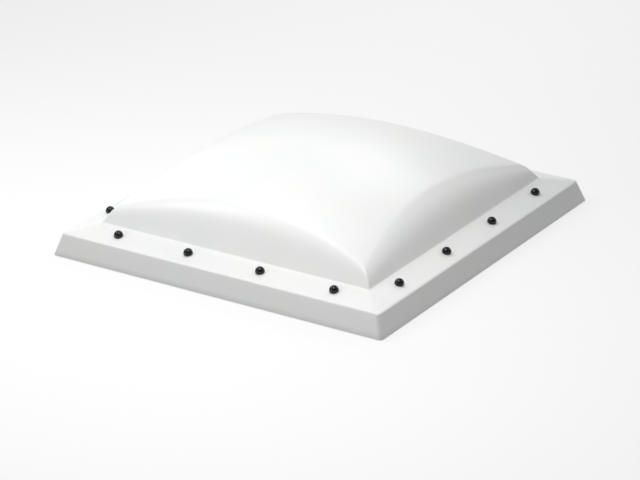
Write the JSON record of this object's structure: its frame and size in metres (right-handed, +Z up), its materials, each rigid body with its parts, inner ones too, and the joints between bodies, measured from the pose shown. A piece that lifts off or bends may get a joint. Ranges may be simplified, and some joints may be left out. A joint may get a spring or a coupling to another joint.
{
  "type": "roof skylight",
  "caption": "Square roof skylight: a shallow opal dome with a sloping flange and flared drip skirt, black-capped screws, and a second dome and mitred hollow frame beneath.",
  "frame": {"origin": "centre of the square drip edge, in the plane it stands on", "axes": "+Z up through the top of the dome; X and Y square to the sides of the flange"},
  "size_m": [0.8316, 0.8316, 0.187],
  "materials": {
    "opal_acrylic": "gloss opal acrylic sheet",
    "inner_acrylic": "gloss pale clear acrylic sheet",
    "foam_strip": "matt closed-cell foam",
    "seal_rubber": "matt black rubber",
    "frame_metal": "mill-finish extrusion",
    "key_metal": "sawn aluminium",
    "screw_steel": "bright stainless steel",
    "washer_rubber": "matt black rubber",
    "sleeve_plastic": "natural nylon",
    "cap_plastic": "gloss black moulded cap"
  },
  "bodies": {
    "root": {"outer_dome": "opal_acrylic", "inner_dome": "inner_acrylic", "spacer_strip_front": "foam_strip", "spacer_strip_right": "foam_strip", "spacer_strip_back": "foam_strip", "spacer_strip_left": "foam_strip", "frame_gasket_front": "seal_rubber", "frame_gasket_right": "seal_rubber", "frame_gasket_back": "seal_rubber", "frame_gasket_left": "seal_rubber", "frame_rail_front": "frame_metal", "frame_rail_right": "frame_metal", "frame_rail_back": "frame_metal", "frame_rail_left": "frame_metal", "corner_key_front_right": "key_metal", "corner_key_back_right": "key_metal", "corner_key_back_left": "key_metal", "corner_key_front_left": "key_metal", "kerb_seal_front": "seal_rubber", "kerb_seal_right": "seal_rubber", "kerb_seal_back": "seal_rubber", "kerb_seal_left": "seal_rubber", "fixing_screws": "screw_steel", "steel_washers": "screw_steel", "sealing_washers": "washer_rubber", "hole_sleeves": "sleeve_plastic", "screw_cap_01": "cap_plastic", "screw_cap_02": "cap_plastic", "screw_cap_03": "cap_plastic", "screw_cap_04": "cap_plastic", "screw_cap_05": "cap_plastic", "screw_cap_06": "cap_plastic", "screw_cap_07": "cap_plastic", "screw_cap_08": "cap_plastic", "screw_cap_09": "cap_plastic", "screw_cap_10": "cap_plastic", "screw_cap_11": "cap_plastic", "screw_cap_12": "cap_plastic", "screw_cap_13": "cap_plastic", "screw_cap_14": "cap_plastic", "screw_cap_15": "cap_plastic", "screw_cap_16": "cap_plastic"}
  },
  "joints": []
}
